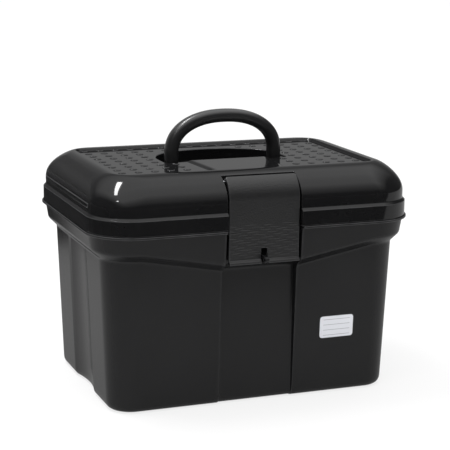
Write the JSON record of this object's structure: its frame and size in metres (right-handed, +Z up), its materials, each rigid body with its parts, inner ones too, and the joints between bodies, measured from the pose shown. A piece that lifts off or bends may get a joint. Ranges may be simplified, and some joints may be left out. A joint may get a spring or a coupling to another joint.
{
  "type": "horse grooming box",
  "caption": "Moulded black grooming box with a domed, studded lid on rear hinges, a fold-down carrying handle, a flap latch with a padlock eye and a lift-out tray.",
  "frame": {"origin": "middle of the base, on the surface that the box stands on", "axes": "+X to the box's right seen from the front, -Y out of the front with the latch, +Z up"},
  "size_m": [0.406, 0.3148, 0.3386],
  "materials": {
    "black_shell": "moulded black polypropylene, semi-gloss",
    "black_textured": "moulded black polypropylene, spark-eroded texture",
    "black_handle": "moulded black polypropylene, semi-gloss",
    "black_tray": "moulded black polypropylene, satin",
    "pin_steel": "drawn zinc-plated steel rod",
    "label_film": "blank white label film"
  },
  "bodies": {
    "tub": {"tub": "black_shell", "hinge_pin_left": "pin_steel", "hinge_pin_right": "pin_steel", "label": "label_film"},
    "lid": {"lid": "black_shell", "latch_pin": "pin_steel", "handle_pin_left": "pin_steel", "handle_pin_right": "pin_steel"},
    "latch": {"latch": "black_textured"},
    "handle": {"handle": "black_handle"},
    "tray": {"tray": "black_tray"}
  },
  "joints": [
    {"name": "lid_hinge", "type": "hinge", "parent": "tub", "child": "lid", "pos_m": [0, 0.156, 0.2155], "axis": [-1, 0, 0], "range_deg": [0, 105]},
    {"name": "latch_pivot", "type": "hinge", "parent": "lid", "child": "latch", "pos_m": [0, -0.12276, 0.26892], "axis": [-1, 0, 0], "range_deg": [0, 65]},
    {"name": "handle_fold", "type": "hinge", "parent": "lid", "child": "handle", "pos_m": [0, -0.005, 0.26925], "axis": [-1, 0, 0], "range_deg": [0, 90]},
    {"name": "tray_lift", "type": "slide", "parent": "tub", "child": "tray", "axis": [0, 0, 1], "range_m": [0, 0.03]}
  ]
}
